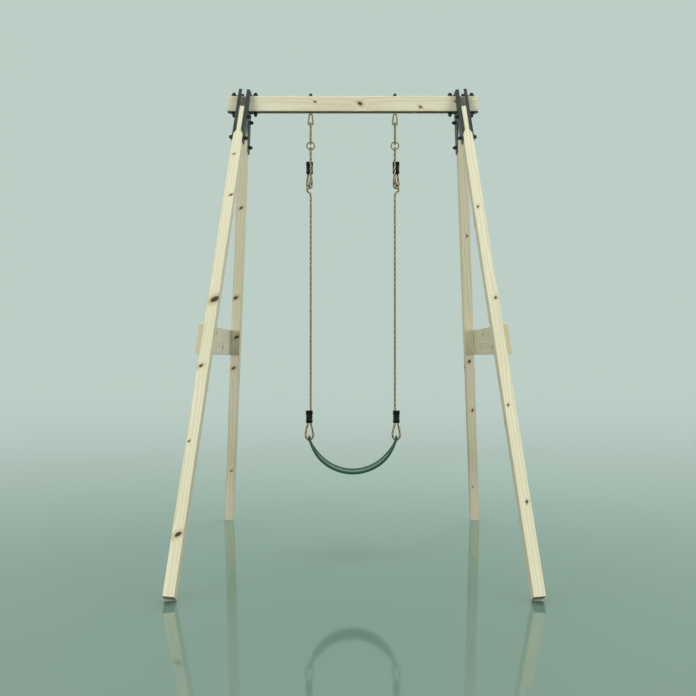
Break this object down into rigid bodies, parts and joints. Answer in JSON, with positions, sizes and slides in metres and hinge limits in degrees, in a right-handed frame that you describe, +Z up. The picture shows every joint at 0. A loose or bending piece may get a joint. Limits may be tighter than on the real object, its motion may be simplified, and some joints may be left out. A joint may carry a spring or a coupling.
{
  "type": "timber garden swing set with a belt seat",
  "caption": "Timber A-frame garden swing set with folded steel brackets and a flexible belt seat on adjustable ropes, hung from carabiners and eye bolts.",
  "frame": {"origin": "on the ground, under the middle of the cross beam", "axes": "+X along the cross beam, to the right seen from the front; +Y from front to back; +Z up"},
  "size_m": [1.3954, 1.8576, 2.1172],
  "materials": {
    "pine": "planed, pale, untreated look with small dark knots",
    "black_steel": "black powder coat, satin",
    "zinc": "yellow zinc plate, dulled",
    "rope": "three-strand twisted rope, matt, tan",
    "black_plastic": "moulded, satin black",
    "belt_green": "moulded flexible plastic, satin green"
  },
  "bodies": {
    "stand": {"cross_beam": "pine", "leg_front_left": "pine", "leg_bolt_upper_front_left": "black_steel", "leg_nut_upper_front_left": "black_steel", "leg_bolt_lower_front_left": "black_steel", "leg_nut_lower_front_left": "black_steel", "brace_screw_front_left": "black_steel", "leg_rear_left": "pine", "leg_bolt_upper_rear_left": "black_steel", "leg_nut_upper_rear_left": "black_steel", "leg_bolt_lower_rear_left": "black_steel", "leg_nut_lower_rear_left": "black_steel", "brace_screw_rear_left": "black_steel", "side_brace_left": "pine", "bracket_outer_left": "black_steel", "bracket_inner_left": "black_steel", "beam_bolt_outer_left": "black_steel", "beam_nut_outer_left": "black_steel", "beam_bolt_inner_left": "black_steel", "beam_nut_inner_left": "black_steel", "hanger_eye_bolt_left": "zinc", "hanger_nut_left": "black_steel", "hanger_washer_left": "black_steel", "leg_front_right": "pine", "leg_bolt_upper_front_right": "black_steel", "leg_nut_upper_front_right": "black_steel", "leg_bolt_lower_front_right": "black_steel", "leg_nut_lower_front_right": "black_steel", "brace_screw_front_right": "black_steel", "leg_rear_right": "pine", "leg_bolt_upper_rear_right": "black_steel", "leg_nut_upper_rear_right": "black_steel", "leg_bolt_lower_rear_right": "black_steel", "leg_nut_lower_rear_right": "black_steel", "brace_screw_rear_right": "black_steel", "side_brace_right": "pine", "bracket_outer_right": "black_steel", "bracket_inner_right": "black_steel", "beam_bolt_outer_right": "black_steel", "beam_nut_outer_right": "black_steel", "beam_bolt_inner_right": "black_steel", "beam_nut_inner_right": "black_steel", "hanger_eye_bolt_right": "zinc", "hanger_nut_right": "black_steel", "hanger_washer_right": "black_steel"},
    "carabiners": {"carabiner_body_left": "zinc", "carabiner_pin_left": "zinc", "carabiner_body_right": "zinc", "carabiner_pin_right": "zinc"},
    "gate_left": {"carabiner_gate_left": "zinc"},
    "gate_right": {"carabiner_gate_right": "zinc"},
    "ropes": {"rope_ring_left": "zinc", "rope_left": "rope", "rope_lock_lower_left": "black_plastic", "rope_lock_upper_left": "black_plastic", "rope_ring_right": "zinc", "rope_right": "rope", "rope_lock_lower_right": "black_plastic", "rope_lock_upper_right": "black_plastic"},
    "seat": {"belt_seat": "belt_green"}
  },
  "joints": [
    {"name": "swing", "type": "hinge", "parent": "stand", "child": "carabiners", "pos_m": [0, 0, 1.9605], "axis": [1, 0, 0], "range_deg": [-60, 60]},
    {"name": "rope_knuckle", "type": "hinge", "parent": "carabiners", "child": "ropes", "pos_m": [0, 0, 1.8825], "axis": [1, 0, 0], "range_deg": [-30, 30]},
    {"name": "seat_tilt", "type": "hinge", "parent": "ropes", "child": "seat", "pos_m": [0, 0, 0.5175], "axis": [1, 0, 0], "range_deg": [-45, 45]},
    {"name": "gate_left_hinge", "type": "hinge", "parent": "carabiners", "child": "gate_left", "pos_m": [-0.1935, 0.019, 1.902], "axis": [1, 0, 0], "range_deg": [0, 25], "stiffness_Nm_per_rad": 0.1},
    {"name": "gate_right_hinge", "type": "hinge", "parent": "carabiners", "child": "gate_right", "pos_m": [0.1935, 0.019, 1.902], "axis": [1, 0, 0], "range_deg": [0, 25], "stiffness_Nm_per_rad": 0.1}
  ]
}
